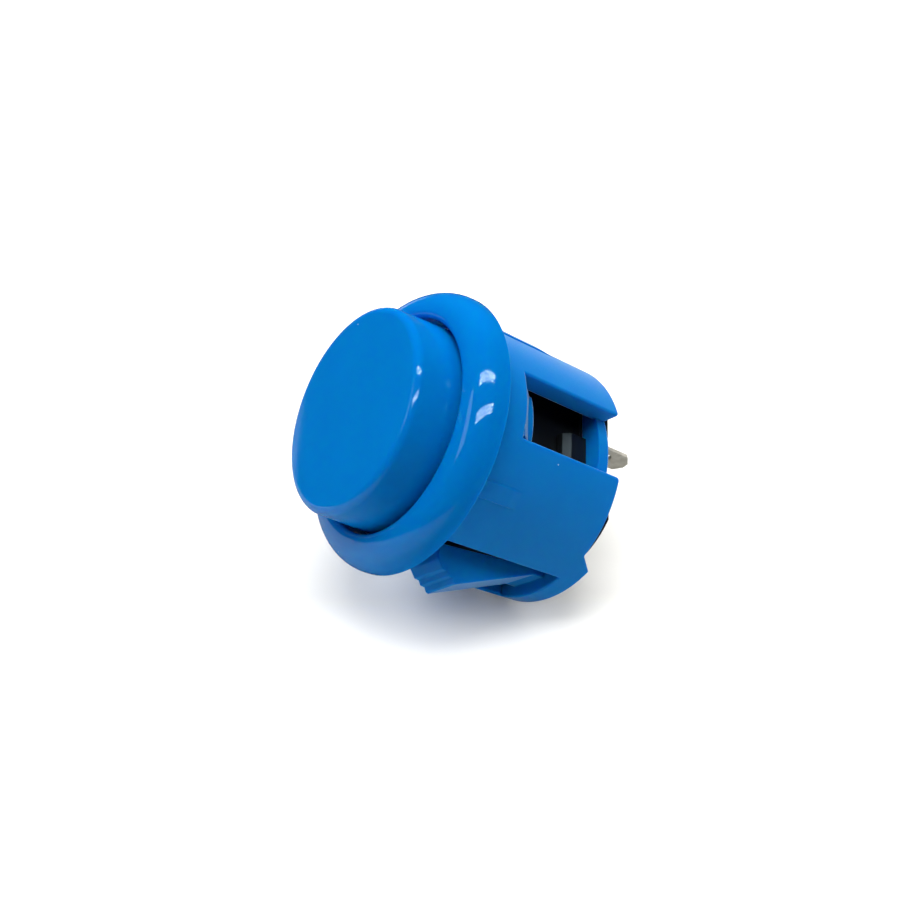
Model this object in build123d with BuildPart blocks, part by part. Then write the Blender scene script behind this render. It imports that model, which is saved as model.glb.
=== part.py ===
"""Snap-in arcade push button with a built-in switch, in millimetres.

The Z axis is the button's axis, with the cap up, and Z = 0 is the underside of the rim, where the
panel sits. The snap arms are on the X axis and the side windows on the Y axis. Sizes that end in
_depth are measured downwards from Z = 0.
"""
import math
import os

from build123d import *

os.makedirs("parts", exist_ok=True)

# Barrel and rim
barrel_diameter = 29.4  # goes into a 30 mm panel hole
barrel_wall = 2.6
barrel_depth = 19.1
well_step = 0.66  # from the bore out to the cap's well
window_width = 7.7
window_front_depth = 4.3
window_corner = 0.45  # round at the rear corners of the windows
wall_edge = 0.25  # round on the outer wall's edges
lug_reach = 2.2  # behind the barrel's rear end
lug_base_width = 17.1  # across the outer wall
lug_tip_width = 14.1
lug_root = 0.4  # round where the lugs leave the barrel's rear end
rim_overhang = 1.95  # past the barrel's wall
rim_height = 3.75
rim_land = 0.45  # upright edge at the foot of the rim's dome
rim_lip_width = 0.74  # from the crest in to the well
rim_lip_drop = 0.7  # from the crest down to the well

# Bars that close the windows behind and hold the switch
bar_embed = 0.4  # into the barrel's wall
bar_width = 2.83  # from its round side in to its flat face
bar_thickness = 1.45
bar_inset = 0.15  # in front of the barrel's rear end

# Snap arms and their slots
slot_width = 9.65
slot_floor = 2.85  # what is left of the lug behind the slot
arm_width = 5.0
arm_inset = 0.2  # from the bore out to the arm's inner face
arm_thickness = 0.9  # at the root
arm_foot = 1.45  # straight part in front of the slot's rear end
arm_lean = 0.9  # how far the inner face leans outwards at the free end
arm_crown_reach = 0.3  # past the barrel's wall
arm_crown_depth = 2.8
arm_hook_reach = 2.55  # past the barrel's wall
arm_hook_depth = 5.45
arm_hook_bevel = 0.3
arm_steps = 2
arm_tread = 0.5
arm_tread_fall = 0.25
arm_step_rise = 0.6
arm_step_lean = 0.1
arm_embed = 1.0  # how far the arm's root runs into the rear lug

# Raised pads that centre the barrel in its hole: angle about the axis and length
pad_height = 0.12
pad_width = 2.1
pad_taper = 1.0
pad_rows = ((49, 5.4), (139, 10.5), (229, 5.4), (319, 10.5))

# Plunger
travel = 2.0
cap_gap = 0.4  # between the cap and its well
cap_top = 9.0
cap_crown = 0.2
cap_edge = 0.9
cap_draft = 0.3  # narrower at its top than at its foot
cap_wall = 1.6
cap_foot = 0.3  # lower edge of the cap's wall, above Z = 0
cap_land = 1.0  # upright part of the wall above its foot
well_spare = 0.9  # left under the cap's wall at full travel
guide_gap = 0.15
guide_wall = 1.4
guide_depth = 3.6
leg_gap = 0.75  # between a leg and the sides of its window
hook_gap = 0.1
hook_reach = 1.35
hook_land = 0.8
hook_height = 3.25
post_diameter = 4.0
post_gap = 0.1
rib_thickness = 0.9
rib_foot = 3.0  # lower edge of the ribs, above Z = 0

# Switch case
case_gap = 0.12  # between the base and the bars
base_gap = 0.35  # between the base's round sides and the bore
base_rise = 0.3  # of the base's inner floor in front of the bars
base_thickness = 4.8
channel_width = 7.3
channel_height = 2.2
shoulder_gap = 0.65  # between a shoulder and the sides of its window
shoulder_reach = 0.85  # past the bars' inner faces
latch_width = 3.4
latch_thickness = 0.85
latch_hook = 0.75
latch_height = 3.1  # in front of the bars
latch_ramp = 0.75
latch_gap = 0.2  # between the latches and the cover
cover_gap = 0.6  # between the cover's round sides and the bore
cover_wall = 0.8
arm_room = 1.9  # left beside the cover for a snap arm to bend

# Actuator
actuator_diameter = 3.8
actuator_gap = 0.08
stem_spare = 0.2  # of the stem above the cover at full travel
flange_diameter = 6.0
flange_thickness = 0.8
flange_gap = 0.05
nose_radius = 1.5
nose_height = 0.9

# Contact arm, contacts and spring
blade_thickness = 0.3
blade_width = 3.2
blade_gap = 0.1
blade_tip = 4.2  # from the axis to the arm's free end
tongue_width = 1.4
tongue_reach = 0.3
tongue_gap = 0.3  # between the tongue and the cover
contact_offset = 3.0
contact_diameter = 1.8
moving_contact_height = 0.5
fixed_contact_height = 0.5
contact_gap = 0.08  # left between the contacts at full travel
spring_diameter = 3.2
spring_wire = 0.35
spring_turns = 3.5
spring_gap = 0.02
seat_diameter = 2.4
seat_height = 0.6

# Terminals
terminal_width = 2.8
terminal_thickness = 0.5
terminal_reach = 5.7  # behind the base
terminal_chamfer = 1.0
terminal_hole = 1.25
terminal_hole_reach = 2.3  # behind the base
terminal_x = 2.8
terminal_inset = 2.55  # from the base's flat side in to the blade's middle
terminal_turn = 15  # degrees off the Y axis
foot_thickness = 0.5
foot_overhang = 0.7  # past the blade's middle
common_foot_width = 2.8
upright_thickness = 0.4
upright_width = 3.0
upright_head = 1.2  # of the upright above the pivot
notch_gap = 0.2
open_foot_end = 2.0  # from the axis to the near edge of the open terminal's foot

# Worked out from the sizes above: the housing and the plunger
barrel_radius = barrel_diameter / 2
rim_radius = barrel_radius + rim_overhang
bore_radius = barrel_radius - barrel_wall
well_radius = bore_radius + well_step
cap_radius = well_radius - cap_gap
cap_top_radius = cap_radius - cap_draft
well_depth = travel - cap_foot + well_spare
crest_radius = well_radius + rim_lip_width
lug_depth = barrel_depth + lug_reach
lug_base_angle = math.asin(lug_base_width / 2 / barrel_radius)
lug_tip_angle = math.asin(lug_tip_width / 2 / barrel_radius)
lug_taper = barrel_radius * math.sin(lug_base_angle - lug_tip_angle)
bar_radius = bore_radius + bar_embed
bar_flat = bar_radius - bar_width
bar_rear_depth = barrel_depth - bar_inset
bar_front_depth = bar_rear_depth - bar_thickness
slot_rear_depth = lug_depth - slot_floor
arm_heel_radius = bore_radius + arm_inset
arm_root_radius = arm_heel_radius + arm_thickness
arm_root_depth = slot_rear_depth - arm_foot
arm_hook_radius = barrel_radius + arm_hook_reach
guide_radius = bore_radius - guide_gap
hook_radius = guide_radius + hook_reach
catch_depth = window_front_depth + hook_gap
leg_width = window_width - 2 * leg_gap
leg_depth = catch_depth + hook_height
cap_roof = cap_top - cap_crown - cap_wall
beyond = 2 * rim_radius  # reach of cuts that go right through
touch = 0.001  # nearer than this counts as lying on a surface

# The switch case
base_radius = bore_radius - base_gap
base_flat = bar_flat - case_gap
base_top_depth = bar_front_depth - base_rise
base_rear_depth = base_top_depth + base_thickness
channel_depth = base_rear_depth - channel_height
shoulder_width = window_width - 2 * shoulder_gap
latch_top_depth = bar_front_depth - latch_height
cover_radius = bore_radius - cover_gap
cover_flat = base_flat - latch_thickness - latch_gap
cover_side = arm_heel_radius - arm_room
terminal_y = base_flat - terminal_inset
terminal_tip_depth = base_rear_depth + terminal_reach
terminal_hole_depth = base_rear_depth + terminal_hole_reach

# The switch's inside is stacked up from the base: the moving contact's lowest corner after the full
# swing comes just short of the fixed contact, and that sets the height of the pivot and the cover
pivot_y = cover_flat - cover_wall - tongue_gap - tongue_reach - upright_thickness / 2
swing = travel / pivot_y
contact_reach = pivot_y + contact_offset + contact_diameter / 2
contact_drop = blade_thickness / 2 + moving_contact_height
contact_fall = contact_drop * math.cos(swing) + contact_reach * math.sin(swing)
foot_top_depth = base_top_depth - foot_thickness
pivot_depth = foot_top_depth - fixed_contact_height - contact_gap - contact_fall
blade_foot_depth = pivot_depth + blade_thickness / 2
nose_depth = pivot_depth - blade_thickness / 2 - blade_gap
flange_foot_depth = nose_depth - nose_height
flange_top_depth = flange_foot_depth - flange_thickness
cover_roof_depth = flange_top_depth - flange_gap
cover_top_depth = cover_roof_depth - cover_wall
actuator_top_depth = cover_top_depth - travel - stem_spare
post_depth = actuator_top_depth - post_gap


def on_outer_wall(edge):
    """True for an edge of the windows, slots or rear end that lies on the barrel's outer wall."""
    radii = [math.hypot(end.X, end.Y) for end in edge.vertices()]
    return all(abs(radius - barrel_radius) < touch for radius in radii) and edge.center().Z < -touch


def arm_outline():
    """Corners of a snap arm seen from the side, as radius and height, from its heel to its root."""
    rear = slot_rear_depth + arm_embed
    corners = [
        (arm_heel_radius, -rear),
        (arm_heel_radius, -arm_root_depth),
        (arm_heel_radius + arm_lean, -arm_crown_depth),
        (barrel_radius + arm_crown_reach, -arm_crown_depth),
    ]
    radius = arm_hook_radius - arm_step_lean - arm_steps * (arm_tread + arm_step_lean)
    depth = arm_hook_depth - arm_hook_bevel - arm_steps * (arm_tread_fall + arm_step_rise)
    for _ in range(arm_steps):
        corners.append((radius, -depth))
        corners.append((radius + arm_step_lean, -depth - arm_step_rise))
        radius += arm_step_lean + arm_tread
        depth += arm_step_rise + arm_tread_fall
    corners.append((radius, -depth))
    corners.append((arm_hook_radius, -arm_hook_depth))
    corners.append((arm_root_radius, -arm_root_depth))
    corners.append((arm_root_radius, -rear))
    return corners


def terminal_outline(side):
    """Face of a terminal's upright blade, with its chamfered tip and hole, in its turned plane."""
    turn = math.radians(terminal_turn)
    blade_plane = Plane(
        origin=(-side * terminal_x, side * terminal_y, 0),
        x_dir=(-math.sin(turn), math.cos(turn), 0),
        z_dir=(math.cos(turn), math.sin(turn), 0),
    )
    half = terminal_width / 2
    with BuildSketch(blade_plane) as outline:
        with BuildLine():
            Polyline(
                (-half, -base_top_depth),
                (-half, -terminal_tip_depth + terminal_chamfer),
                (-half + terminal_chamfer, -terminal_tip_depth),
                (half - terminal_chamfer, -terminal_tip_depth),
                (half, -terminal_tip_depth + terminal_chamfer),
                (half, -base_top_depth),
                close=True,
            )
        make_face()
        with Locations((0, -terminal_hole_depth)):
            Circle(terminal_hole / 2, mode=Mode.SUBTRACT)
    return outline.sketch


# Housing: rim, barrel, snap arms and bars in one moulding
with BuildPart() as housing:
    # Rim and barrel, turned about the axis
    with BuildSketch(Plane.XZ):
        with BuildLine():
            Polyline(
                (well_radius, rim_height - rim_lip_drop),
                (well_radius, -well_depth),
                (bore_radius, -well_depth),
                (bore_radius, -lug_depth),
                (barrel_radius, -lug_depth),
                (barrel_radius, 0),
                (rim_radius, 0),
                (rim_radius, rim_land),
            )
            EllipticalCenterArc(
                (crest_radius, rim_land),
                rim_radius - crest_radius,
                rim_height - rim_land,
                start_angle=0,
                arc_size=90,
            )
            EllipticalCenterArc(
                (crest_radius, rim_height - rim_lip_drop),
                crest_radius - well_radius,
                rim_lip_drop,
                start_angle=90,
                arc_size=90,
            )
        make_face()
    revolve(axis=Axis.Z)
    # Rear end cut back to the lugs behind the snap arms, whose ends stand square to the wall
    lug_end_plane = Plane(
        origin=(0, 0, 0),
        x_dir=(-math.sin(lug_base_angle), math.cos(lug_base_angle), 0),
        z_dir=(math.cos(lug_base_angle), math.sin(lug_base_angle), 0),
    )
    with BuildSketch(lug_end_plane) as rear_cut:
        with BuildLine():
            Polyline(
                (0, -barrel_depth),
                (beyond, -barrel_depth),
                (beyond, -beyond),
                (-lug_taper, -beyond),
                (-lug_taper, -lug_depth),
                close=True,
            )
        make_face()
        fillet(rear_cut.vertices().group_by(Axis.Y)[-1].sort_by(Axis.X)[0], lug_root)
    rear_cuts = [extrude(amount=beyond, mode=Mode.PRIVATE)]
    for mirror_plane in (Plane.XZ, Plane.YZ):
        rear_cuts += [mirror(cut, about=mirror_plane, mode=Mode.PRIVATE) for cut in rear_cuts]
    for cut in rear_cuts:
        add(cut, mode=Mode.SUBTRACT)
    # Windows, open at the rear
    with BuildSketch(Plane.XZ):
        with Locations((0, -window_front_depth)):
            Rectangle(window_width, beyond, align=(Align.CENTER, Align.MAX))
    extrude(amount=beyond, both=True, mode=Mode.SUBTRACT)
    rear_corners = housing.edges().filter_by(Axis.Y).filter_by_position(
        Axis.Z, -barrel_depth, -barrel_depth
    ).filter_by_position(Axis.X, -window_width / 2, window_width / 2)
    fillet(rear_corners, window_corner)
    # Slots round the snap arms
    with BuildSketch(Plane.YZ):
        Rectangle(slot_width, slot_rear_depth, align=(Align.CENTER, Align.MAX))
    extrude(amount=beyond, both=True, mode=Mode.SUBTRACT)
    # Soft edges on the barrel's outer wall
    fillet(housing.edges().filter_by(on_outer_wall), wall_edge)
    # Snap arms with stepped ends
    with BuildSketch(Plane.XZ):
        with BuildLine():
            Polyline(*arm_outline(), close=True)
        make_face()
        mirror(about=Plane.YZ)
    extrude(amount=arm_width / 2, both=True)
    # Bars behind the windows
    with BuildSketch(Plane.XY.offset(-bar_rear_depth)):
        Circle(bar_radius)
        Rectangle(2 * bar_radius, 2 * bar_flat, mode=Mode.SUBTRACT)
    extrude(amount=bar_rear_depth - bar_front_depth)
    # Raised pads
    for pad_angle, pad_length in pad_rows:
        turn = math.radians(pad_angle)
        outwards = (math.cos(turn), math.sin(turn), 0)
        sideways = (math.sin(turn), -math.cos(turn), 0)
        with BuildSketch(Plane((0, 0, 0), x_dir=outwards, z_dir=sideways)):
            with BuildLine():
                Polyline(
                    (barrel_radius - pad_height, 0),
                    (barrel_radius + pad_height, 0),
                    (barrel_radius + pad_height, -pad_length),
                    (barrel_radius - pad_height, -pad_length - 2 * pad_taper),
                    close=True,
                )
            make_face()
        extrude(amount=pad_width / 2, both=True)
housing.part.label = "housing"
export_step(housing.part, "parts/housing.step")

# Plunger: cap, guide skirt, two hooked legs and a middle post
with BuildPart() as plunger:
    # Cap and guide skirt, turned about the axis
    with BuildSketch(Plane.XZ) as cap_section:
        with BuildLine():
            ThreePointArc(
                (0, cap_top),
                (cap_top_radius / 2, cap_top - cap_crown / 4),
                (cap_top_radius, cap_top - cap_crown),
            )
            Polyline(
                (cap_top_radius, cap_top - cap_crown),
                (cap_radius, cap_foot + cap_land),
                (cap_radius, cap_foot),
                (guide_radius, cap_foot),
                (guide_radius, -guide_depth),
                (guide_radius - guide_wall, -guide_depth),
                (guide_radius - guide_wall, cap_roof),
                (0, cap_roof),
                (0, cap_top),
            )
        make_face()
        fillet(cap_section.vertices().sort_by(Axis.Y)[-2], cap_edge)
    revolve(axis=Axis.Z)
    # Room for the snap arms to bend inwards
    with BuildSketch(Plane.YZ.offset(-beyond)):
        with Locations((0, cap_foot)):
            Rectangle(slot_width, beyond, align=(Align.CENTER, Align.MAX))
    extrude(amount=2 * beyond, mode=Mode.SUBTRACT)
    # Legs
    with BuildSketch(Plane.XY.offset(-leg_depth)):
        Circle(guide_radius)
        Circle(guide_radius - guide_wall, mode=Mode.SUBTRACT)
        Rectangle(leg_width, 2 * guide_radius, mode=Mode.INTERSECT)
    extrude(amount=leg_depth + cap_foot)
    # Hooks that catch under the front edges of the windows
    with BuildSketch(Plane.YZ):
        with BuildLine():
            Polyline(
                (guide_radius - guide_wall / 2, -catch_depth),
                (hook_radius, -catch_depth),
                (hook_radius, -catch_depth - hook_land),
                (guide_radius - guide_wall / 2, -leg_depth),
                close=True,
            )
        make_face()
        mirror(about=Plane.YZ)
    extrude(amount=leg_width / 2, both=True)
    # Post with four ribs
    with BuildSketch(Plane.XY.offset(-post_depth)):
        Circle(post_diameter / 2)
    extrude(amount=post_depth + cap_roof + cap_wall / 2)
    with BuildSketch(Plane.XY.offset(rib_foot)):
        Rectangle(2 * guide_radius - guide_wall, rib_thickness)
        Rectangle(rib_thickness, 2 * guide_radius - guide_wall)
    extrude(amount=cap_roof + cap_wall / 2 - rib_foot)
plunger.part.label = "plunger"
export_step(plunger.part, "parts/plunger.step")

# Switch base: a round plug between the bars, with two latches and the terminals' slots
with BuildPart() as switch_base:
    with BuildSketch(Plane.XY.offset(-base_rear_depth)):
        Circle(base_radius)
        Rectangle(2 * base_radius, 2 * base_flat, mode=Mode.INTERSECT)
    extrude(amount=base_rear_depth - base_top_depth)
    # Channel for the terminals
    with BuildSketch(Plane.XY.offset(-base_rear_depth)):
        Rectangle(channel_width, 2 * base_radius)
    extrude(amount=base_rear_depth - channel_depth, mode=Mode.SUBTRACT)
    # Shoulders that stop against the bars
    with BuildSketch(Plane.XY.offset(-channel_depth)):
        Rectangle(shoulder_width, 2 * (bar_flat + shoulder_reach))
    extrude(amount=channel_depth - bar_rear_depth)
    # Latches over the bars
    with BuildSketch(Plane.YZ):
        with BuildLine():
            Polyline(
                (base_flat - latch_thickness, -channel_depth),
                (base_flat - latch_thickness, -latch_top_depth),
                (base_flat, -latch_top_depth),
                (base_flat + latch_hook, -latch_top_depth - latch_ramp),
                (base_flat + latch_hook, -bar_front_depth),
                (base_flat, -bar_front_depth),
                (base_flat, -channel_depth),
                close=True,
            )
        make_face()
        mirror(about=Plane.YZ)
    extrude(amount=latch_width / 2, both=True)
    # Seat of the return spring
    with BuildSketch(Plane.XY.offset(-base_top_depth)):
        Circle(seat_diameter / 2)
    extrude(amount=seat_height)
    # Slots of the terminals
    with BuildSketch(Plane.XY.offset(-base_rear_depth)):
        with Locations((-terminal_x, terminal_y), (terminal_x, -terminal_y)):
            Rectangle(terminal_thickness, terminal_width, rotation=terminal_turn)
    extrude(amount=base_rear_depth - base_top_depth, mode=Mode.SUBTRACT)
switch_base.part.label = "switch_base"
export_step(switch_base.part, "parts/switch_base.step")

# Switch cover: a shallow cup over the mechanism
with BuildPart() as switch_cover:
    with BuildSketch(Plane.XY.offset(-base_top_depth)):
        Circle(cover_radius)
        Rectangle(2 * cover_side, 2 * cover_flat, mode=Mode.INTERSECT)
    extrude(amount=base_top_depth - cover_top_depth)
    with BuildSketch(Plane.XY.offset(-base_top_depth)):
        Circle(cover_radius - cover_wall)
        Rectangle(2 * (cover_side - cover_wall), 2 * (cover_flat - cover_wall), mode=Mode.INTERSECT)
    extrude(amount=base_top_depth - cover_roof_depth, mode=Mode.SUBTRACT)
    with BuildSketch(Plane.XY.offset(-cover_roof_depth)):
        Circle(actuator_diameter / 2 + actuator_gap)
    extrude(amount=cover_wall, mode=Mode.SUBTRACT)
switch_cover.part.label = "switch_cover"
export_step(switch_cover.part, "parts/switch_cover.step")

# Actuator: stem, flange and rounded nose
with BuildPart() as switch_actuator:
    with BuildSketch(Plane.XZ):
        with BuildLine():
            nose_side = math.sqrt(nose_radius**2 - (nose_radius - nose_height) ** 2)
            Polyline(
                (nose_side, -flange_foot_depth),
                (flange_diameter / 2, -flange_foot_depth),
                (flange_diameter / 2, -flange_top_depth),
                (actuator_diameter / 2, -flange_top_depth),
                (actuator_diameter / 2, -actuator_top_depth),
                (0, -actuator_top_depth),
                (0, -nose_depth),
            )
            RadiusArc((0, -nose_depth), (nose_side, -flange_foot_depth), -nose_radius)
        make_face()
    revolve(axis=Axis.Z)
switch_actuator.part.label = "switch_actuator"
export_step(switch_actuator.part, "parts/switch_actuator.step")

# Contact arm: a flat strip with a tongue through the common terminal's notch
with BuildPart() as moving_blade:
    blade_end = pivot_y - upright_thickness / 2 - notch_gap
    with BuildSketch(Plane.XY.offset(-blade_foot_depth)):
        with Locations((0, -blade_tip)):
            Rectangle(blade_width, blade_tip + blade_end, align=(Align.CENTER, Align.MIN))
        with Locations((0, 0)):
            Rectangle(
                tongue_width,
                pivot_y + upright_thickness / 2 + tongue_reach,
                align=(Align.CENTER, Align.MIN),
            )
    extrude(amount=blade_thickness)
moving_blade.part.label = "moving_blade"
export_step(moving_blade.part, "parts/moving_blade.step")

# Contact button under the arm
with BuildPart() as moving_contact:
    with BuildSketch(Plane.XY.offset(-blade_foot_depth)):
        with Locations((0, -contact_offset)):
            Circle(contact_diameter / 2)
    extrude(amount=-moving_contact_height)
moving_contact.part.label = "moving_contact"
export_step(moving_contact.part, "parts/moving_contact.step")

# Contact button on the open terminal's foot
with BuildPart() as fixed_contact:
    with BuildSketch(Plane.XY.offset(-foot_top_depth)):
        with Locations((0, -contact_offset)):
            Circle(contact_diameter / 2)
    extrude(amount=fixed_contact_height)
fixed_contact.part.label = "fixed_contact"
export_step(fixed_contact.part, "parts/fixed_contact.step")

# Common terminal: blade, foot on the base and an upright that holds the contact arm
with BuildPart() as common_terminal:
    extrude(terminal_outline(1), amount=terminal_thickness / 2, both=True)
    upright_back = pivot_y + upright_thickness / 2
    with BuildSketch(Plane.XY.offset(-base_top_depth)):
        with Locations((-terminal_x - foot_overhang, upright_back)):
            Rectangle(
                terminal_x + foot_overhang + upright_width / 2,
                common_foot_width,
                align=(Align.MIN, Align.MAX),
            )
    extrude(amount=foot_thickness)
    with BuildSketch(Plane.XZ.offset(-upright_back)):
        with Locations((0, -base_top_depth)):
            Rectangle(
                upright_width,
                base_top_depth - pivot_depth + upright_head,
                align=(Align.CENTER, Align.MIN),
            )
        with Locations((0, -pivot_depth)):
            Rectangle(
                tongue_width + 2 * notch_gap,
                blade_thickness + 2 * (tongue_reach + upright_thickness) * swing + 2 * notch_gap,
                mode=Mode.SUBTRACT,
            )
    extrude(amount=upright_thickness)
common_terminal.part.label = "common_terminal"
export_step(common_terminal.part, "parts/common_terminal.step")

# Open terminal: blade and a long foot that carries the fixed contact
with BuildPart() as open_terminal:
    extrude(terminal_outline(-1), amount=terminal_thickness / 2, both=True)
    with BuildSketch(Plane.XY.offset(-base_top_depth)):
        with Locations((terminal_x + foot_overhang, -open_foot_end)):
            Rectangle(
                terminal_x + 2 * foot_overhang + contact_diameter / 2,
                upright_back - open_foot_end,
                align=(Align.MAX, Align.MAX),
            )
    extrude(amount=foot_thickness)
open_terminal.part.label = "open_terminal"
export_step(open_terminal.part, "parts/open_terminal.step")

# Return spring between the base and the contact arm
with BuildPart() as return_spring:
    spring_height = base_top_depth - blade_foot_depth - spring_wire - 2 * spring_gap
    spring_foot = -base_top_depth + spring_wire / 2 + spring_gap
    with BuildLine() as coil:
        Helix(
            spring_height / spring_turns,
            spring_height,
            spring_diameter / 2,
            center=(0, 0, spring_foot),
        )
    with BuildSketch(Plane(origin=coil.line @ 0, z_dir=coil.line % 0)):
        Circle(spring_wire / 2)
    sweep(path=coil.line, is_frenet=True)
return_spring.part.label = "return_spring"
export_step(return_spring.part, "parts/return_spring.step")
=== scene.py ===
"""Arcade push button on white paper: finishes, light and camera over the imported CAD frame.

Everything is in metres in the part's own frame: Z is the button's axis with the cap up, and Z = 0 is the
underside of the rim. In the photograph the button leans on a terminal's tip, the barrel's rear edge and a
rear lug, so the floor is a slanted plane here.
"""

import math

import bpy
import numpy as np
from mathutils import Matrix, Vector


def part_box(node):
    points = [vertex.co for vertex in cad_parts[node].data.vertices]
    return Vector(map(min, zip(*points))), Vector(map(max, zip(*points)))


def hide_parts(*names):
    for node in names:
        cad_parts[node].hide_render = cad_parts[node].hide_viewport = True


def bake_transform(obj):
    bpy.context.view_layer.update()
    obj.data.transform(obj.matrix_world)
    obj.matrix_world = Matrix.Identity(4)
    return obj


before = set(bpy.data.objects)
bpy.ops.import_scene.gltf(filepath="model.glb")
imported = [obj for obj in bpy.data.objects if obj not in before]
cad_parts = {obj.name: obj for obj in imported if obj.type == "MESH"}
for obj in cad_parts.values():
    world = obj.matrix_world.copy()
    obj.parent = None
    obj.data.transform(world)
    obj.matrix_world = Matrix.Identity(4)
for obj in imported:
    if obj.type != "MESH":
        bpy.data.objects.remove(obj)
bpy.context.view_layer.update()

MM = 0.001
NOISE_LOW, NOISE_HIGH = 0.3, 0.7  # most values of a noise lie between these


# Small helpers

def linear(hex_colour):
    """Turns an sRGB hex colour into linear RGBA: v/12.92 below 0.04045, else ((v + 0.055)/1.055)^2.4."""
    values = [int(hex_colour[i:i + 2], 16) / 255 for i in (1, 3, 5)]
    return (*(v / 12.92 if v <= 0.04045 else ((v + 0.055) / 1.055) ** 2.4 for v in values), 1.0)


def per(size_mm):
    """Texture scale that gives a pattern of this real size: one repeat per size, in metres."""
    return 1 / (size_mm * MM)


def put(tree, kind, inputs=None, **settings):
    """Adds a node: settings are its own properties, inputs are plain values or other nodes' outputs."""
    node = tree.nodes.new(kind)
    for name, value in settings.items():
        setattr(node, name, value)
    for name, value in (inputs or {}).items():
        if isinstance(value, bpy.types.NodeSocket):
            tree.links.new(value, node.inputs[name])
        else:
            node.inputs[name].default_value = value
    return node


def calc(tree, operation, first, second):
    """The result of one step of arithmetic or of a comparison."""
    return put(tree, "ShaderNodeMath", {0: first, 1: second}, operation=operation).outputs[0]


def mix_values(tree, factor, first, second):
    """A value between two others, which are sockets 2 and 3 of the mix node."""
    return put(tree, "ShaderNodeMix", {"Factor": factor, 2: first, 3: second}).outputs[0]


def mix_colours(tree, factor, first, second):
    """A colour between two others, which are sockets 6 and 7 of the mix node."""
    return put(tree, "ShaderNodeMix", {"Factor": factor, 6: first, 7: second}, data_type="RGBA").outputs[2]


def ramp(tree, value, start, end, low=0.0, high=1.0, **settings):
    """Low where the value is at start or before it, high at end or after it, and even between them."""
    return put(tree, "ShaderNodeMapRange", {
        "Value": value, "From Min": start, "From Max": end, "To Min": low, "To Max": high,
    }, **settings).outputs["Result"]


def object_place(tree):
    """The shaded point in the object's own coordinates."""
    return put(tree, "ShaderNodeTexCoord").outputs["Object"]


def noise(tree, place, size_mm, detail):
    """Soft noise with blotches of about this real size."""
    return put(tree, "ShaderNodeTexNoise", {
        "Vector": place, "Scale": per(size_mm), "Detail": detail,
    }).outputs["Fac"]


def skin_normal(tree, grain, strength, depth_mm, edge_radius):
    """The normal of a grained skin over edges that are rounded by a radius in metres."""
    soft_edge = put(tree, "ShaderNodeBevel", {"Radius": edge_radius}, samples=6).outputs["Normal"]
    return put(tree, "ShaderNodeBump", {
        "Height": grain, "Strength": strength, "Distance": depth_mm * MM, "Normal": soft_edge,
    }).outputs["Normal"]


def new_finish(name):
    """An empty material and its node tree."""
    finish = bpy.data.materials.new(name)
    finish.use_nodes = True
    tree = finish.node_tree
    tree.nodes.clear()
    return finish, tree


def show(tree, inputs):
    """Ends a material with one physical shader."""
    shader = put(tree, "ShaderNodeBsdfPrincipled", inputs)
    put(tree, "ShaderNodeOutputMaterial", {"Surface": shader.outputs[0]})


def dress(finish, *nodes):
    """Gives CAD nodes a finish in their one material slot."""
    for name in nodes:
        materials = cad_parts[name].data.materials
        materials.clear()
        materials.append(finish)


# Finishes: "front" is polished, in front of the panel; "rear" is spark eroded, behind it

ABS_BLUE = "#0079c8"
ABS_BLUE_DEEP = "#0073c0"
ABS_IOR = 1.53
FRONT_ROUGHNESS, FRONT_HAZE = 0.05, 0.02
REAR_ROUGHNESS, REAR_SPREAD = 0.42, 0.05
FRONT_SHINE, REAR_SHINE = 0.3, 0.06
FRONT_EDGE, REAR_EDGE = 0.06 * MM, 0.3 * MM  # the mould's edges are sharper in front
PANEL_BLUR = 0.02 * MM  # the change from front to rear, at Z = 0
REAR_SCUFFS, SCUFF_ROUGHNESS = 0.5, 0.28
DUST = "#9fc4dc"
DUST_SPACING_MM = 2.6
DUST_SHARE = 0.07  # of the pattern's cells hold a speck
DUST_RADIUS = 0.035  # of the spacing


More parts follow.
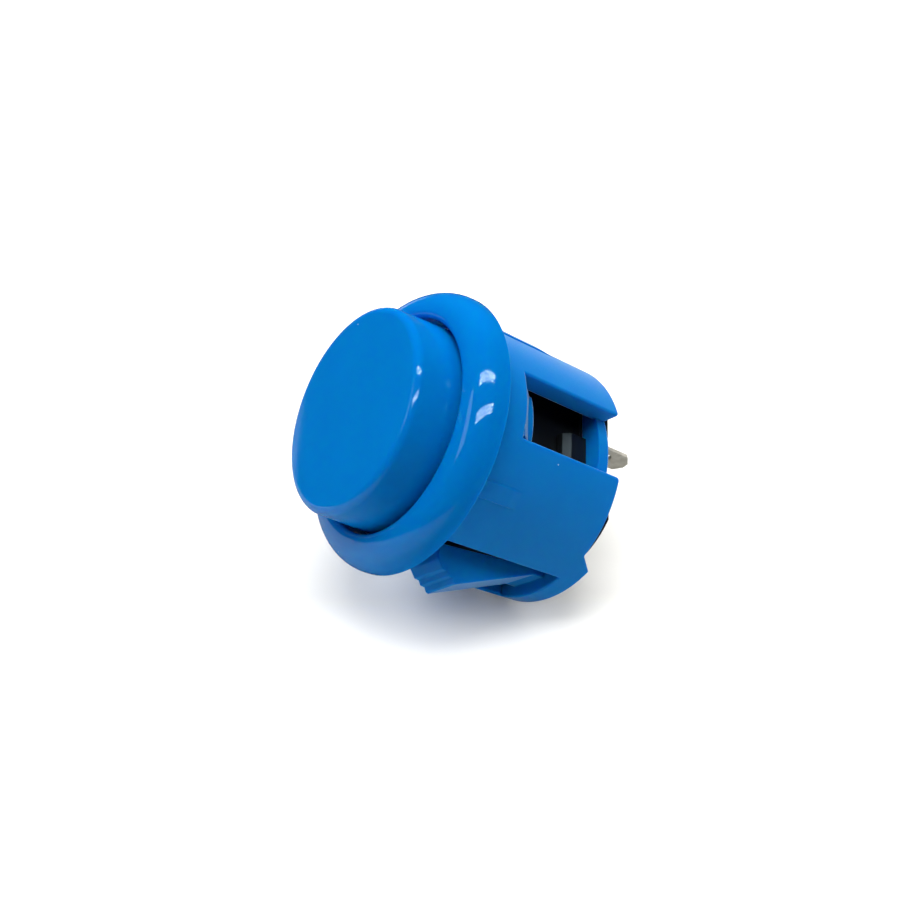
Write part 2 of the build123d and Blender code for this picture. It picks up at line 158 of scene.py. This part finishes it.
def moulded_abs(name):
    """Moulded ABS coloured through: polished mould in front of the panel, spark-eroded mould behind it.

    The polished faces mirror the lamps sharply, with faint handling haze; the eroded ones spread them
    into a soft sheen over a fine grain. The colour drifts a little along the flow, and dust shows pale.
    """
    finish, tree = new_finish(name)
    place = object_place(tree)
    height = put(tree, "ShaderNodeSeparateXYZ", {"Vector": place}).outputs["Z"]
    behind = ramp(tree, height, -PANEL_BLUR, PANEL_BLUR, 1, 0)
    flow = noise(tree, place, 7, 3)
    haze = noise(tree, place, 2.5, 5)
    # Spark erosion leaves a grain of about 0.05 mm, drawn at 0.2 mm so that it shows
    grain = noise(tree, place, 0.2, 2)
    cells = put(tree, "ShaderNodeTexVoronoi", {"Vector": place, "Scale": per(DUST_SPACING_MM)}).outputs
    chosen = put(tree, "ShaderNodeSeparateColor", {"Color": cells["Color"]}).outputs["Red"]
    rare = calc(tree, "GREATER_THAN", chosen, 1 - DUST_SHARE)
    speck = calc(tree, "LESS_THAN", cells["Distance"], DUST_RADIUS)
    dust = calc(tree, "MULTIPLY", rare, speck)
    drift = mix_colours(tree, flow, linear(ABS_BLUE_DEEP), linear(ABS_BLUE))
    gloss = ramp(tree, haze, NOISE_LOW, NOISE_HIGH,
                 FRONT_ROUGHNESS - FRONT_HAZE, FRONT_ROUGHNESS + FRONT_HAZE)
    satin = ramp(tree, grain, NOISE_LOW, NOISE_HIGH,
                 REAR_ROUGHNESS - REAR_SPREAD, REAR_ROUGHNESS + REAR_SPREAD)
    edge_radius = mix_values(tree, behind, FRONT_EDGE, REAR_EDGE)
    show(tree, {
        "Base Color": mix_colours(tree, dust, drift, linear(DUST)),
        "Roughness": mix_values(tree, behind, gloss, satin),
        "IOR": ABS_IOR,
        "Specular IOR Level": mix_values(tree, behind, FRONT_SHINE, REAR_SHINE),
        "Normal": skin_normal(tree, calc(tree, "MULTIPLY", grain, behind), 0.25, 0.012, edge_radius),
        # Fine scuffs on the eroded faces, which pale them where they are seen edge on
        "Sheen Weight": calc(tree, "MULTIPLY", behind, REAR_SCUFFS),
        "Sheen Roughness": SCUFF_ROUGHNESS,
        # Light goes into the plastic, blue the deepest
        "Subsurface Weight": 0.6,
        "Subsurface Scale": 1.6 * MM,
        "Subsurface Radius": (0.05, 0.3, 1.0),
    })
    return finish


def moulded_pbt(name):
    """Moulded black PBT with a satin skin: near black, with a grey sheen where it faces the lamps."""
    finish, tree = new_finish(name)
    place = object_place(tree)
    grain = noise(tree, place, 0.25, 3)
    bloom = noise(tree, place, 3, 4)
    show(tree, {
        "Base Color": mix_colours(tree, bloom, linear("#070708"), linear("#0e0e10")),
        "Roughness": ramp(tree, bloom, NOISE_LOW, NOISE_HIGH, 0.4, 0.55),
        "IOR": 1.55,
        "Specular IOR Level": 0.3,
        "Normal": skin_normal(tree, grain, 0.3, 0.012, 0.1 * MM),
    })
    return finish


def moulded_acetal(name):
    """Moulded natural acetal: milky white with a waxy, half-dull skin that lets a little light in."""
    finish, tree = new_finish(name)
    cloud = noise(tree, object_place(tree), 1.5, 3)
    show(tree, {
        "Base Color": mix_colours(tree, cloud, linear("#dcd6c6"), linear("#ece8dc")),
        "Roughness": ramp(tree, cloud, NOISE_LOW, NOISE_HIGH, 0.35, 0.5),
        "IOR": 1.48,
        "Subsurface Weight": 0.15,
        "Subsurface Scale": 0.6 * MM,
    })
    return finish


def drawn_metal(name, bright, dull, roughness_range, stretch, patch_mm, metallic=1.0):
    """Rolled, stamped or drawn metal: fine lines along the way it was worked, under patches of tarnish.

    The lines are noise stretched along the working direction, so the sheen spreads across them.
    """
    finish, tree = new_finish(name)
    place = object_place(tree)
    along = put(tree, "ShaderNodeMapping", {"Vector": place, "Scale": stretch}).outputs["Vector"]
    # Rolling lines are a few hundredths of a millimetre wide, drawn at 0.12 mm so that they show
    lines = noise(tree, along, 0.12, 2)
    tarnish = noise(tree, place, patch_mm, 5)
    worn = ramp(tree, tarnish, 0.35, 0.65)
    mixed = mix_values(tree, 0.5, lines, tarnish)
    show(tree, {
        "Base Color": mix_colours(tree, worn, linear(bright), linear(dull)),
        "Metallic": metallic,
        "Roughness": ramp(tree, mixed, NOISE_LOW, NOISE_HIGH, *roughness_range),
        "Normal": skin_normal(tree, lines, 0.2, 0.008, 0.06 * MM),
    })
    return finish


WORKED_EVENLY, WORKED_ALONG_Y, WORKED_ALONG_Z = (1, 1, 1), (1, 0.06, 1), (1, 1, 0.06)

dress(moulded_abs("moulded ABS housing"), "housing")
dress(moulded_abs("moulded ABS plunger"), "plunger")
dress(moulded_pbt("moulded PBT case"), "switch_base", "switch_cover")
dress(moulded_acetal("moulded acetal slider"), "switch_actuator")
# Tinned brass: grey, a little warm, with an aged film that scatters most of the light
tinned_brass = drawn_metal("tinned brass blade", "#e2ded2", "#cbc6b8", (0.28, 0.5),
                           WORKED_ALONG_Z, 1.2, metallic=0.25)
dress(tinned_brass, "common_terminal", "open_terminal")
# Phosphor bronze: warm strip, rolled along the arm
phosphor_bronze = drawn_metal("rolled phosphor bronze", "#c99a63", "#a87842", (0.22, 0.4),
                              WORKED_ALONG_Y, 1.5)
dress(phosphor_bronze, "moving_blade")
# Pressed silver: white, with a first grey film
silver = drawn_metal("pressed silver", "#e9e6e0", "#b9b5ad", (0.18, 0.35), WORKED_EVENLY, 0.5)
dress(silver, "moving_contact", "fixed_contact")
spring_steel = drawn_metal("drawn spring steel", "#b4b4b8", "#85858a", (0.2, 0.35), WORKED_EVENLY, 0.8)


# Return spring: a wound coil in place of the CAD spring, its foot in the switch's base and its top at the
# spring's top

WIRE_RADIUS = 0.175 * MM
SPRING_TURNS = 4.5
DEAD_TURNS = 1.0  # closed turns at each end
STEPS_PER_TURN = 40
WIRE_SIDES = 14


def coil_surface(middle, foot, top, coil_radius):
    """Wire along a helix with closed ends.

    The path's angle runs evenly over all turns. Each end's dead turn rises by one wire thickness, and the
    rest of the height is climbed evenly between them. The tube is a circle of the wire's radius round it.
    """
    steps = int(SPRING_TURNS * STEPS_PER_TURN) + 1
    turned = np.linspace(0, 1, steps) * SPRING_TURNS
    angle = turned * 2 * np.pi
    climb = np.clip((turned - DEAD_TURNS) / (SPRING_TURNS - 2 * DEAD_TURNS), 0, 1)
    low, high = foot + WIRE_RADIUS, top - WIRE_RADIUS
    first_lift = WIRE_RADIUS * 2 * np.clip(turned / DEAD_TURNS, 0, 1)
    last_lift = WIRE_RADIUS * 2 * np.clip((turned - SPRING_TURNS + DEAD_TURNS) / DEAD_TURNS, 0, 1)
    height = low + first_lift + last_lift + climb * (high - low - 4 * WIRE_RADIUS)
    outwards = np.stack([np.cos(angle), np.sin(angle), np.zeros(steps)], 1)
    path = coil_radius * outwards
    path += np.stack([np.full(steps, middle[0]), np.full(steps, middle[1]), height], 1)
    along = np.gradient(path, axis=0)
    along /= np.linalg.norm(along, axis=1, keepdims=True)
    upwards = np.cross(along, outwards)
    turn = np.linspace(0, 2 * np.pi, WIRE_SIDES, endpoint=False)
    rings = (path[:, None] + WIRE_RADIUS * (np.cos(turn)[None, :, None] * outwards[:, None]
                                            + np.sin(turn)[None, :, None] * upwards[:, None]))
    i, j = np.meshgrid(np.arange(steps - 1), np.arange(WIRE_SIDES), indexing="ij")
    k = (j + 1) % WIRE_SIDES
    quads = np.stack([i * WIRE_SIDES + j, (i + 1) * WIRE_SIDES + j,
                      (i + 1) * WIRE_SIDES + k, i * WIRE_SIDES + k], -1).reshape(-1, 4)
    first_end = tuple(range(WIRE_SIDES))
    last_end = tuple(range((steps - 1) * WIRE_SIDES, steps * WIRE_SIDES))[::-1]
    return rings.reshape(-1, 3), [tuple(q) for q in quads] + [first_end, last_end]


spring_low, spring_high = (Vector(corner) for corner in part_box("return_spring"))
spring_middle = (spring_low + spring_high) / 2
points, faces = coil_surface(
    spring_middle, spring_low.z, spring_high.z, (spring_high.x - spring_low.x) / 2 - WIRE_RADIUS,
)
spring_mesh = bpy.data.meshes.new("return_coil")
spring_mesh.from_pydata(points.tolist(), [], faces)
spring_mesh.polygons.foreach_set("use_smooth", np.ones(len(faces), bool))
spring_mesh.materials.append(spring_steel)
return_coil = bpy.data.objects.new("return_coil", spring_mesh)
bpy.context.scene.collection.objects.link(return_coil)
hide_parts("return_spring")
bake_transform(return_coil)


# Camera, fitted to the photograph's rim, cap and barrel edges

CAMERA_PLACE = Vector((57.80, 97.80, 71.49)) * MM
CAMERA_FORWARD = Vector((-0.4194, -0.7131, -0.5618)).normalized()
CAMERA_UP = Vector((-0.9065, 0.2963, 0.3008))
LENS_MM = 47.12
SENSOR_MM = 36
NEAREST = 2 * MM

camera_right = CAMERA_FORWARD.cross(CAMERA_UP).normalized()
camera_up = camera_right.cross(CAMERA_FORWARD)
camera_data = bpy.data.cameras.new("camera")
camera_data.lens = LENS_MM
camera_data.sensor_width = SENSOR_MM
camera_data.clip_start = NEAREST
camera = bpy.data.objects.new("camera", camera_data)
bpy.context.scene.collection.objects.link(camera)
camera.matrix_world = (Matrix.Translation(CAMERA_PLACE)
                       @ Matrix((camera_right, camera_up, -CAMERA_FORWARD)).transposed().to_4x4())
bpy.context.scene.camera = camera


# Floor: the plane that the button leans on

FLOOR_UP = Vector((-0.4436, 0.6598, 0.6065)).normalized()
# The sheet's corners in metres, rightwards and away from the camera; it ends where the cap mirrors its edge
SHEET_CORNERS = ((-0.98, 1.01), (-0.148, 0.077), (-0.19, 0.03), (-1.2, -0.6), (1.2, -1.2), (1.2, 1.2))

floor_right = (camera_right - FLOOR_UP * camera_right.dot(FLOOR_UP)).normalized()
floor_away = FLOOR_UP.cross(floor_right)
corners = []
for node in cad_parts.values():
    node_corners = np.empty(len(node.data.vertices) * 3, np.float32)
    node.data.vertices.foreach_get("co", node_corners)
    corners.append(node_corners.reshape(-1, 3))
floor_level = float((np.concatenate(corners) @ np.array(FLOOR_UP)).min())
floor_mesh = bpy.data.meshes.new("floor")
floor_mesh.from_pydata([
    tuple(FLOOR_UP * floor_level + floor_right * right + floor_away * away) for right, away in SHEET_CORNERS
], [], [tuple(range(len(SHEET_CORNERS)))])
floor = bpy.data.objects.new("floor", floor_mesh)
bpy.context.scene.collection.objects.link(floor)

WHITE = linear("#ffffff")
PAPER = "#f2f1ec"
# Painted reflection: the plastic mirrors the paper in a painted tone darker than the paper, lighter towards
# the left and near dark elsewhere
PAPER_PAINTED_REFLECTION_LEFT = "#b4b4b4"
PAPER_PAINTED_REFLECTION_DARK = "#34383c"
PAINTED_BRIGHT_START, PAINTED_BRIGHT_END = 4 * MM, 36 * MM
# Painted light on the paper, for the camera only: a glow that lifts it to white, full far off and in front,
# where it paints the front of the shadow out, and low where the shadow lies
SHADOW_LIFT, FAR_LIFT, FRONT_LIFT = 0.08, 0.5, 0.55
FAR_START, FAR_END = 35 * MM, 110 * MM
FRONT_START, FRONT_END = 2 * MM, 14 * MM


def light_path(tree):
    """The light path's outputs, and 1 for what the camera sees directly or through something clear."""
    ray = put(tree, "ShaderNodeLightPath").outputs
    return ray, calc(tree, "MAXIMUM", ray["Is Camera Ray"], ray["Is Transmission Ray"])


def reach_along(tree, place, direction):
    """How far a point lies along a direction."""
    return put(tree, "ShaderNodeVectorMath", {
        0: place, 1: direction,
    }, operation="DOT_PRODUCT").outputs["Value"]


def white_paper():
    """Matt white paper, seen from above only, so that the views from below look through it. For the camera
    it carries a painted glow that lifts it to white, and glossy rays see it in a painted, darker reflection
    tone.
    """
    finish, tree = new_finish("white paper")
    ray, seen = light_path(tree)
    place = object_place(tree)
    # Painted reflection: glossy rays see the paper in a painted darker tone, lighter only towards the left
    leftwards = reach_along(tree, place, -floor_right - floor_away / 5)
    painted_bright_side = ramp(tree, leftwards, PAINTED_BRIGHT_START, PAINTED_BRIGHT_END)
    mirrored = mix_colours(tree, painted_bright_side, linear(PAPER_PAINTED_REFLECTION_DARK), linear(PAPER_PAINTED_REFLECTION_LEFT))
    tone = mix_colours(tree, ray["Is Glossy Ray"], linear(PAPER), mirrored)
    matt = put(tree, "ShaderNodeBsdfDiffuse", {"Color": tone}).outputs[0]
    # Painted light: the paper glows for the camera, evening it to white far off and lightening the shadow
    # in front of the button
    distance = put(tree, "ShaderNodeVectorMath", {0: place}, operation="LENGTH").outputs["Value"]
    far_lift = ramp(tree, distance, FAR_START, FAR_END, SHADOW_LIFT, FAR_LIFT)
    front_lift = ramp(tree, reach_along(tree, place, -floor_away), FRONT_START, FRONT_END,
                      SHADOW_LIFT, FRONT_LIFT, interpolation_type="SMOOTHSTEP")
    lift = calc(tree, "MULTIPLY", seen, calc(tree, "MAXIMUM", far_lift, front_lift))
    painted_light_glow = put(tree, "ShaderNodeEmission", {"Color": WHITE, "Strength": lift}).outputs[0]
    sheet = put(tree, "ShaderNodeAddShader", {0: matt, 1: painted_light_glow}).outputs[0]
    clear = put(tree, "ShaderNodeBsdfTransparent").outputs[0]
    back = put(tree, "ShaderNodeNewGeometry").outputs["Backfacing"]
    one_sided = put(tree, "ShaderNodeMixShader", {0: back, 1: sheet, 2: clear}).outputs[0]
    put(tree, "ShaderNodeOutputMaterial", {"Surface": one_sided})
    return finish


floor_mesh.materials.append(white_paper())


# Light

COOL_WHITE = "#d6f2ff"
DOT_RADIUS = 0.34  # of the dots' spacing


def studio_lamp(name, towards, distance, width, height, radiance, dots=None):
    """A rectangular lamp that faces the button, its long side along the picture's width.

    With dots, it shines from that many round cool spots along and across it, as strongly in all.
    """
    lamp = bpy.data.lights.new(name, "AREA")
    lamp.shape = "RECTANGLE"
    lamp.size, lamp.size_y = width, height
    lamp.energy = radiance * math.pi * width * height
    if dots:
        lamp.use_nodes = True
        tree = lamp.node_tree
        tree.nodes.clear()
        spread = put(tree, "ShaderNodeNewGeometry").outputs["Parametric"]
        spaced = put(tree, "ShaderNodeVectorMath", {
            0: spread, 1: (*dots, 0),
        }, operation="MULTIPLY").outputs[0]
        spot = put(tree, "ShaderNodeVectorMath", {0: spaced}, operation="FRACTION").outputs[0]
        reach = put(tree, "ShaderNodeVectorMath", {
            0: spot, 1: (0.5, 0.5, 0),
        }, operation="DISTANCE").outputs["Value"]
        lit = calc(tree, "LESS_THAN", reach, DOT_RADIUS)
        power = calc(tree, "MULTIPLY", lit, 1 / (math.pi * DOT_RADIUS ** 2))
        shine = put(tree, "ShaderNodeEmission", {"Color": linear(COOL_WHITE), "Strength": power}).outputs[0]
        put(tree, "ShaderNodeOutputLight", {"Surface": shine})
    holder = bpy.data.objects.new(name, lamp)
    bpy.context.scene.collection.objects.link(holder)
    back_axis = towards.normalized()
    across = (camera_right - back_axis * camera_right.dot(back_axis)).normalized()
    holder.matrix_world = (Matrix.Translation(back_axis * distance)
                           @ Matrix((across, back_axis.cross(across), back_axis)).transposed().to_4x4())
    return holder


def from_picture(rightwards, upwards, backwards):
    """A direction given as the picture shows it: to the right, upwards, and back towards the camera."""
    return camera_right * rightwards + camera_up * upwards - CAMERA_FORWARD * backwards


# Two rows of small cool lamps overhead, which only show as dotted highlights
BARS = {"far_bar": (0.09, 0.80, 0.59), "near_bar": (0.11, 0.49, 0.87)}
BAR_DISTANCE, BAR_WIDTH, BAR_HEIGHT, BAR_RADIANCE = 0.3, 0.27, 0.042, 17
BAR_DOTS = (9, 3)
for name, towards in BARS.items():
    bar = studio_lamp(name, from_picture(*towards),
                      BAR_DISTANCE, BAR_WIDTH, BAR_HEIGHT, BAR_RADIANCE, dots=BAR_DOTS)
    bar.visible_diffuse = False

# Pale walls round the sheet: they light the button, but it mirrors the dark room between them
WALLS = {
    "roof": ((0, 0, 1), 7.6), "left_wall": ((-0.8, 0, 0.6), 2.2),
    "right_wall": ((0.8, 0, 0.6), 1.5), "rear_wall": ((0, 0.93, 0.37), 7),
}
WALL_DISTANCE, WALL_SIZE = 0.45, 0.3
for name, ((right, away, up), radiance) in WALLS.items():
    towards = floor_right * right + floor_away * away + FLOOR_UP * up
    wall = studio_lamp(name, towards, WALL_DISTANCE, WALL_SIZE, WALL_SIZE, radiance)
    wall.visible_glossy = False

# A slim bright gap on the left, which only shows as a streak along the rim's crest and the cap's edge
GAP_DISTANCE, GAP_WIDTH, GAP_HEIGHT, GAP_RADIANCE = 0.4, 0.09, 0.2, 2.6
side_gap = studio_lamp("side_gap", from_picture(-0.72, 0.45, 0.5),
                       GAP_DISTANCE, GAP_WIDTH, GAP_HEIGHT, GAP_RADIANCE)
side_gap.data.color = linear(COOL_WHITE)[:3]
side_gap.visible_diffuse = False

# The room: white to the camera, dim as light, nearly dark in the plastic's mirror
AMBIENT, AMBIENT_MIRRORED = 0.1, 0.015
world = bpy.data.worlds.new("studio")
bpy.context.scene.world = world
world.use_nodes = True
room = world.node_tree
room.nodes.clear()
ray, seen = light_path(room)
dim = mix_values(room, ray["Is Glossy Ray"], AMBIENT, AMBIENT_MIRRORED)
strength = mix_values(room, seen, dim, 1.0)
surround = put(room, "ShaderNodeBackground", {"Color": WHITE, "Strength": strength}).outputs[0]
put(room, "ShaderNodeOutputWorld", {"Surface": surround})

bpy.context.scene.view_settings.view_transform = "Standard"
